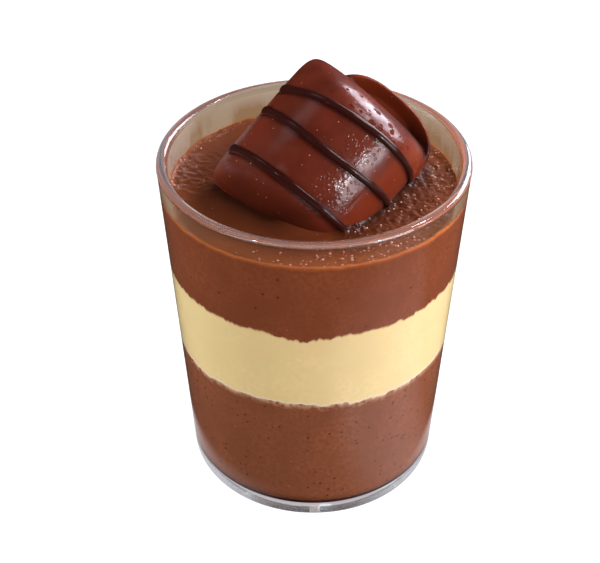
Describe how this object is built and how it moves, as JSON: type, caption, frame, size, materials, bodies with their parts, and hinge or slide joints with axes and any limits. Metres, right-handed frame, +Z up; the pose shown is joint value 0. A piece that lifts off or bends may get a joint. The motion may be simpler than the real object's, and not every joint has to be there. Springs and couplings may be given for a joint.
{
  "type": "layered chocolate mousse in a glass",
  "caption": "Small flared dessert glass of layered chocolate mousse and vanilla cream, topped with a coated wafer-bar segment that leans out of the mousse.",
  "frame": {"origin": "centre of the glass's foot, on the plane that it stands on", "axes": "+Z up along the glass's axis; -Y towards the viewer, with the bar's low end at the front left; +X to the viewer's right"},
  "size_m": [0.056, 0.056, 0.0816],
  "materials": {
    "clear_glass": "clear, smooth, colourless",
    "chocolate_mousse_bottom": "dense milk-chocolate mousse with small pits where it meets the glass",
    "vanilla_cream": "smooth pale yellow cream with a slightly ragged edge",
    "chocolate_mousse_top": "wet, glossy top with fine bubbles and soft ripples",
    "chocolate_coating": "glossy reddish-brown chocolate with a fine orange-peel surface",
    "dark_drizzle": "satin dark chocolate"
  },
  "bodies": {
    "root": {"glass": "clear_glass", "mousse_bottom": "chocolate_mousse_bottom", "cream_middle": "vanilla_cream", "mousse_top": "chocolate_mousse_top", "bar_segment": "chocolate_coating", "drizzle_1": "dark_drizzle", "drizzle_2": "dark_drizzle", "drizzle_3": "dark_drizzle"}
  },
  "joints": []
}
